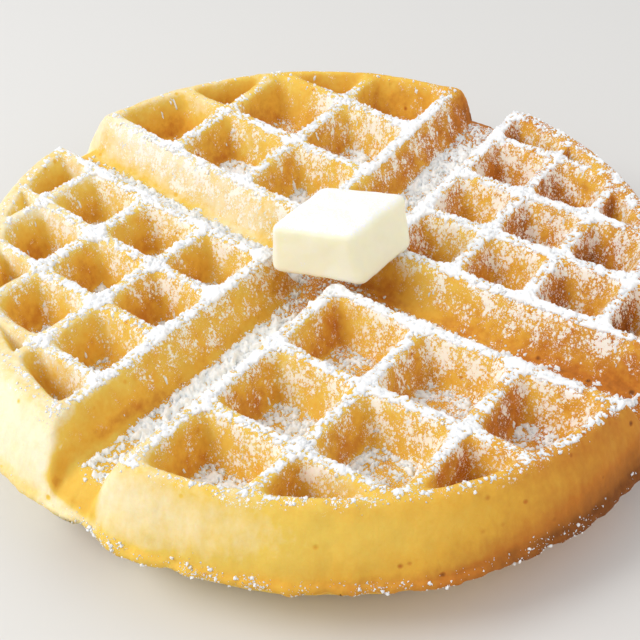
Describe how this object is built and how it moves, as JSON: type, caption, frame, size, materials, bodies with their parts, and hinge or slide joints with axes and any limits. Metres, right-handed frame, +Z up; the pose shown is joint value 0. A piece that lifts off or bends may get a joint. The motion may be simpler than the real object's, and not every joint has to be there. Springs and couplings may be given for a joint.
{
  "type": "belgian waffle",
  "caption": "Round Belgian waffle with deep square pockets and crossing grooves, topped with a pat of butter and icing sugar.",
  "frame": {"origin": "middle of the waffle, in the plane of its underside", "axes": "+X and +Y along the two crossing grooves, +Z up towards the butter"},
  "size_m": [0.1795, 0.1794, 0.0401],
  "materials": {
    "crust": "golden baked crust, dry and finely pitted, browner at the lip",
    "butter": "soft pale butter with a faint waxy sheen"
  },
  "bodies": {
    "root": {"waffle": "crust", "butter": "butter"}
  },
  "joints": []
}
